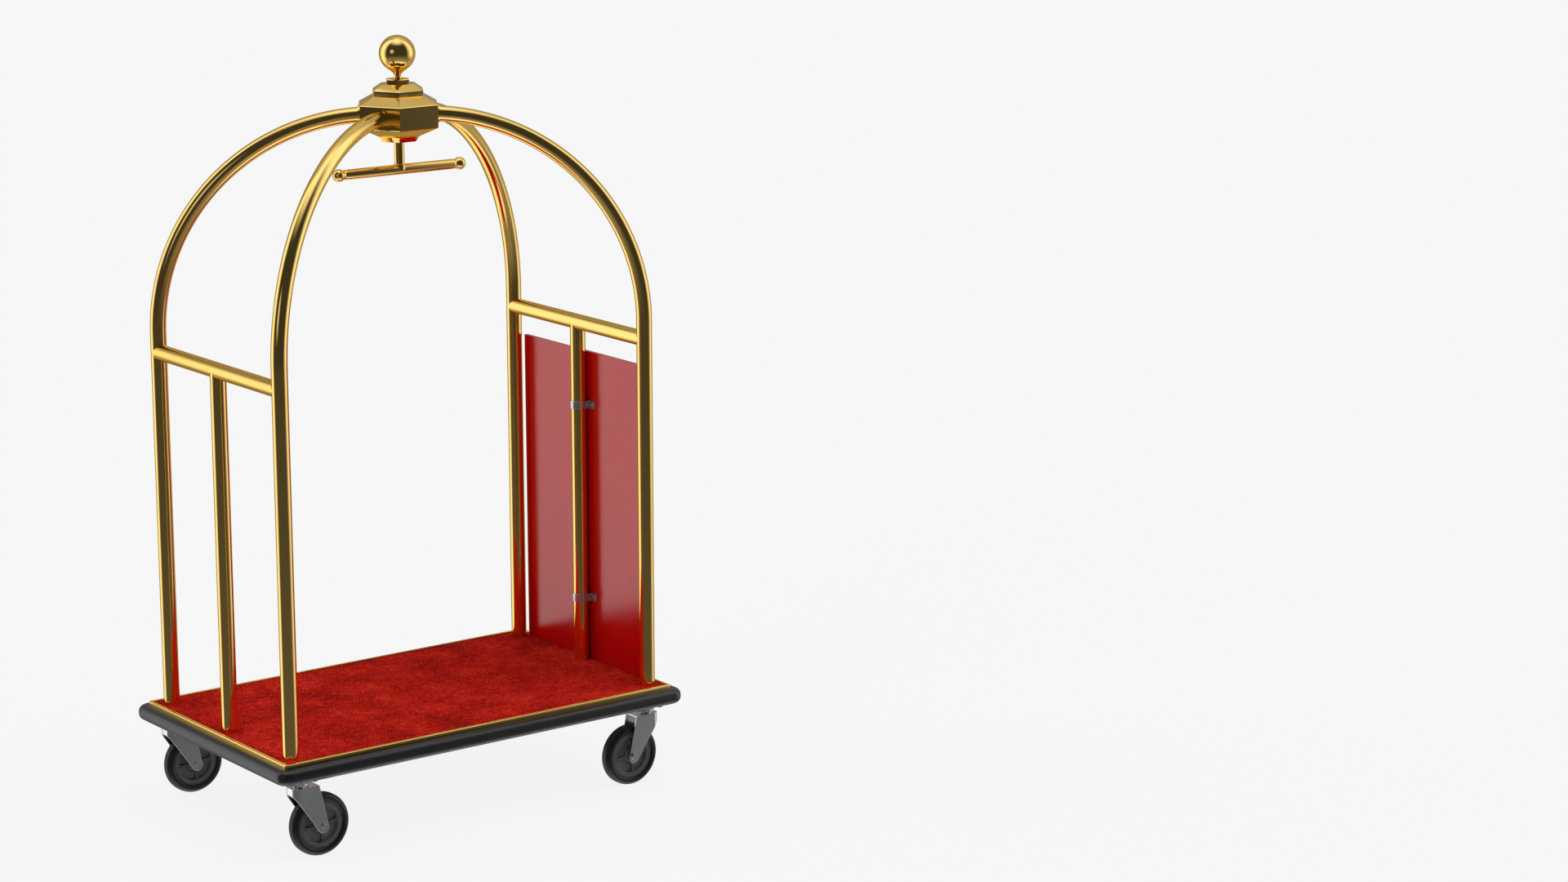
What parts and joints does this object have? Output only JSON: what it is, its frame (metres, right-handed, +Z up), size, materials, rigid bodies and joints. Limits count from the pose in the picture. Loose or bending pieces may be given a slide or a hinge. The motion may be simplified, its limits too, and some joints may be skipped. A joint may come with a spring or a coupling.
{
  "type": "hotel luggage cart",
  "caption": "Hotel luggage cart with a carpeted deck, bright tube arches meeting in a hexagonal hub, a garment hanger, an end panel and swivel casters.",
  "frame": {"origin": "on the floor under the centre of the deck", "axes": "+Z up, +X along the deck towards the end with the panel, +Y across the deck to the left side"},
  "size_m": [1.13, 0.706, 1.8352],
  "materials": {
    "brass": "polished",
    "steel": "satin",
    "chrome": "satin",
    "bumper_rubber": "smooth",
    "tyre": "smooth",
    "wheel_plastic": "matte",
    "carpet": "cut pile",
    "board": "plywood",
    "panel": "gloss"
  },
  "bodies": {
    "cart": {"deck_board": "board", "carpet": "carpet", "edge_trim": "brass", "bumper": "bumper_rubber", "side_rails": "steel", "end_beam_open": "steel", "end_beam_panel": "steel", "centre_beam": "steel", "upright_open_left": "brass", "upright_open_right": "brass", "upright_panel_left": "brass", "upright_panel_right": "brass", "middle_post_open": "brass", "middle_post_panel": "brass", "end_rail_open": "brass", "end_rail_panel": "brass", "foot_plugs": "steel", "foot_bolts": "steel", "hub_band": "brass", "hub_top_cap": "brass", "hub_bottom_cap": "brass", "tube_collars": "brass", "finial_collar": "brass", "finial_ball": "brass", "tie_rod": "steel", "hanger_stem": "brass", "hanger_bar": "brass", "hanger_knobs": "brass", "end_panel": "panel", "clip_upper": "steel", "clip_lower": "steel", "clip_screws": "steel", "caster_plates": "chrome", "caster_bolts": "steel", "caster_nuts": "steel", "head_discs": "chrome", "kingpins": "chrome"},
    "swivel_open_left": {"fork_open_left": "chrome", "race_open_left": "chrome", "axle_open_left": "chrome"},
    "roller_open_left": {"wheel_open_left": "wheel_plastic", "tyre_open_left": "tyre"},
    "swivel_open_right": {"fork_open_right": "chrome", "race_open_right": "chrome", "axle_open_right": "chrome"},
    "roller_open_right": {"wheel_open_right": "wheel_plastic", "tyre_open_right": "tyre"},
    "swivel_panel_left": {"fork_panel_left": "chrome", "race_panel_left": "chrome", "axle_panel_left": "chrome"},
    "roller_panel_left": {"wheel_panel_left": "wheel_plastic", "tyre_panel_left": "tyre"},
    "swivel_panel_right": {"fork_panel_right": "chrome", "race_panel_right": "chrome", "axle_panel_right": "chrome"},
    "roller_panel_right": {"wheel_panel_right": "wheel_plastic", "tyre_panel_right": "tyre"}
  },
  "joints": [
    {"name": "swivel_open_left", "type": "hinge", "parent": "cart", "child": "swivel_open_left", "pos_m": [-0.49, 0.298, 0.1755], "axis": [0, 0, 1], "continuous": true},
    {"name": "roll_open_left", "type": "hinge", "parent": "swivel_open_left", "child": "roller_open_left", "pos_m": [-0.441, 0.298, 0.075], "axis": [0, 1, 0], "continuous": true},
    {"name": "swivel_open_right", "type": "hinge", "parent": "cart", "child": "swivel_open_right", "pos_m": [-0.49, -0.298, 0.1755], "axis": [0, 0, 1], "continuous": true},
    {"name": "roll_open_right", "type": "hinge", "parent": "swivel_open_right", "child": "roller_open_right", "pos_m": [-0.441, -0.298, 0.075], "axis": [0, 1, 0], "continuous": true},
    {"name": "swivel_panel_left", "type": "hinge", "parent": "cart", "child": "swivel_panel_left", "pos_m": [0.482, 0.298, 0.1755], "axis": [0, 0, 1], "continuous": true},
    {"name": "roll_panel_left", "type": "hinge", "parent": "swivel_panel_left", "child": "roller_panel_left", "pos_m": [0.433, 0.298, 0.075], "axis": [0, 1, 0], "continuous": true},
    {"name": "swivel_panel_right", "type": "hinge", "parent": "cart", "child": "swivel_panel_right", "pos_m": [0.482, -0.298, 0.1755], "axis": [0, 0, 1], "continuous": true},
    {"name": "roll_panel_right", "type": "hinge", "parent": "swivel_panel_right", "child": "roller_panel_right", "pos_m": [0.433, -0.298, 0.075], "axis": [0, 1, 0], "continuous": true}
  ]
}
